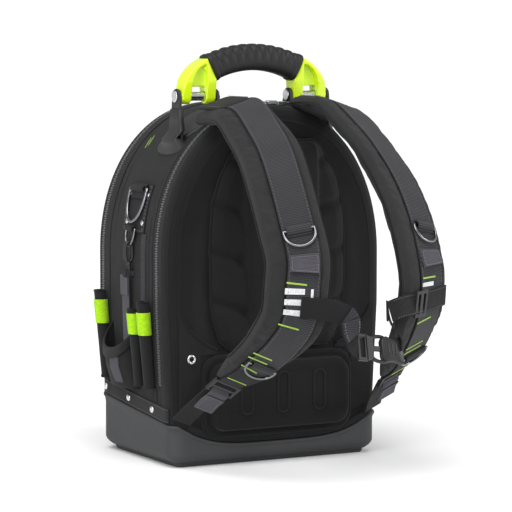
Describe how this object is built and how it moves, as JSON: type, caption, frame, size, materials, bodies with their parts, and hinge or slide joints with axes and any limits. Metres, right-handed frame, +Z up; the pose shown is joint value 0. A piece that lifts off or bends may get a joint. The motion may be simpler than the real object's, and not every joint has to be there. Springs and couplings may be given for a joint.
{
  "type": "tool backpack",
  "caption": "Upright arched backpack with a moulded rubber base, swinging carry handle, padded shoulder straps, chest strap and side tool pockets.",
  "frame": {"origin": "centre of the flat underside of the base", "axes": "+Z up, -Y out of the worn side with the shoulder straps, +X to the right of someone looking at the worn side"},
  "size_m": [0.3211, 0.4501, 0.51],
  "materials": {
    "base_rubber": "matt moulded rubber with a fine grain",
    "bag_fabric": "dense woven nylon",
    "black_webbing": "ribbed webbing",
    "zip_tape": "coil zip on woven tape",
    "back_foam": "moulded foam under mesh",
    "strap_fabric": "padded mesh with ribbed webbing",
    "grey_webbing": "folded grey webbing with stitched ends",
    "lime_fabric": "bright fabric band on black sleeves",
    "black_plastic": "moulded nylon",
    "lime_plastic": "glossy moulded plastic",
    "grip_rubber": "ribbed moulded rubber",
    "bright_steel": "polished steel",
    "dark_chrome": "dark plated steel"
  },
  "bodies": {
    "bag": {"base_tub": "base_rubber", "rear_cover": "bag_fabric", "centre_band": "bag_fabric", "front_cover": "bag_fabric", "tool_pouch": "bag_fabric", "hip_panel_left": "bag_fabric", "hip_panel_right": "bag_fabric", "base_band": "black_webbing", "side_patch": "black_webbing", "chest_strap_left": "black_webbing", "chest_strap_right": "black_webbing", "adjuster_left": "black_webbing", "adjuster_right": "black_webbing", "yoke_cover_left": "black_webbing", "yoke_cover_right": "black_webbing", "rear_zip": "zip_tape", "front_zip": "zip_tape", "back_pad": "back_foam", "lumbar_pad": "back_foam", "strap_pad_left": "strap_fabric", "strap_pad_right": "strap_fabric", "strap_webbing_left": "strap_fabric", "strap_webbing_right": "strap_fabric", "strap_tab_left": "grey_webbing", "strap_tab_right": "grey_webbing", "adjuster_tail_left": "grey_webbing", "adjuster_tail_right": "grey_webbing", "chest_tab": "grey_webbing", "accessory_strap": "grey_webbing", "tool_sleeve_1": "lime_fabric", "tool_sleeve_2": "lime_fabric", "tool_sleeve_3": "lime_fabric", "bracket_left": "black_plastic", "bracket_right": "black_plastic", "ladder_lock_left": "black_plastic", "ladder_lock_right": "black_plastic", "chest_slider": "black_plastic", "buckle_socket": "black_plastic", "buckle_plug": "black_plastic", "snap_hook_1": "black_plastic", "snap_hook_2": "black_plastic", "pin_left": "bright_steel", "pin_right": "bright_steel", "zip_slider_left": "bright_steel", "zip_slider_right": "bright_steel", "rivet_left_1": "bright_steel", "rivet_left_2": "bright_steel", "rivet_left_3": "bright_steel", "rivet_right_1": "bright_steel", "rivet_right_2": "bright_steel", "rivet_right_3": "bright_steel", "hook_ring": "dark_chrome"},
    "handle": {"handle_frame": "lime_plastic", "handle_grip": "grip_rubber"},
    "side_ring_body": {"side_ring": "dark_chrome"},
    "upper_right_ring": {"upper_ring_right": "dark_chrome"},
    "upper_left_ring": {"upper_ring_left": "dark_chrome"},
    "lower_right_ring": {"lower_ring_right": "dark_chrome"},
    "lower_left_ring": {"lower_ring_left": "dark_chrome"}
  },
  "joints": [
    {"name": "handle_swing", "type": "hinge", "parent": "bag", "child": "handle", "pos_m": [0, -0.04, 0.445], "axis": [1, 0, 0], "range_deg": [-70, 45]},
    {"name": "side_ring_swing", "type": "hinge", "parent": "bag", "child": "side_ring_body", "pos_m": [-0.14001, -0.011, 0.333], "axis": [0, 1, 0], "range_deg": [0, 140]},
    {"name": "upper_right_ring_swing", "type": "hinge", "parent": "bag", "child": "upper_right_ring", "pos_m": [0.09036, -0.29705, 0.29759], "axis": [-0.9397, -0.2951, 0.173], "range_deg": [0, 150]},
    {"name": "upper_left_ring_swing", "type": "hinge", "parent": "bag", "child": "upper_left_ring", "pos_m": [-0.07908, -0.30068, 0.29952], "axis": [-0.9397, 0.2951, -0.173], "range_deg": [0, 150]},
    {"name": "lower_right_ring_swing", "type": "hinge", "parent": "bag", "child": "lower_right_ring", "pos_m": [0.1085, -0.24797, 0.14131], "axis": [-0.9172, -0.0215, -0.3978], "range_deg": [0, 150]},
    {"name": "lower_left_ring_swing", "type": "hinge", "parent": "bag", "child": "lower_left_ring", "pos_m": [-0.09749, -0.24826, 0.13655], "axis": [-0.9172, 0.0215, 0.3978], "range_deg": [0, 150]}
  ]
}
